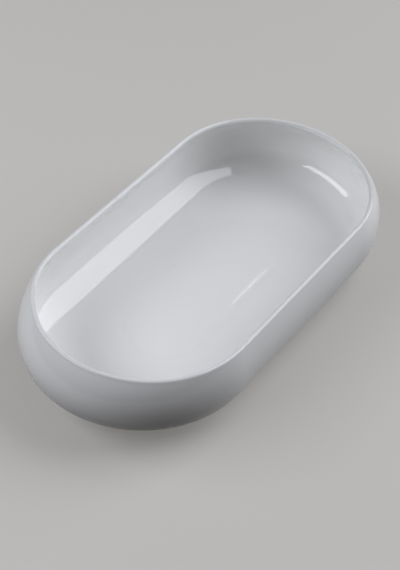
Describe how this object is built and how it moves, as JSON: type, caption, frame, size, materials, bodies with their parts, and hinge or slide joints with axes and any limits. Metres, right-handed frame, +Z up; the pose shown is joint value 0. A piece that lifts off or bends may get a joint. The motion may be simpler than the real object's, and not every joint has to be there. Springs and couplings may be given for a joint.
{
  "type": "oblong serving bowl",
  "caption": "Oblong serving bowl of white glazed porcelain, with straight sides, round ends, a belly that leans in to a rolled lip, and a foot ring with a bare resting edge.",
  "frame": {"origin": "on the table, under the middle of the bowl, in the plane of the foot ring's bare edge", "axes": "+X along the bowl's length, +Y across it, +Z up out of the mouth"},
  "size_m": [0.3, 0.153, 0.055],
  "materials": {
    "clay": "bare fired porcelain, fine and matt",
    "glaze": "clear gloss glaze over white porcelain"
  },
  "bodies": {
    "root": {"porcelain_body": "clay", "glaze_coat": "glaze", "base_glaze": "glaze"}
  },
  "joints": []
}
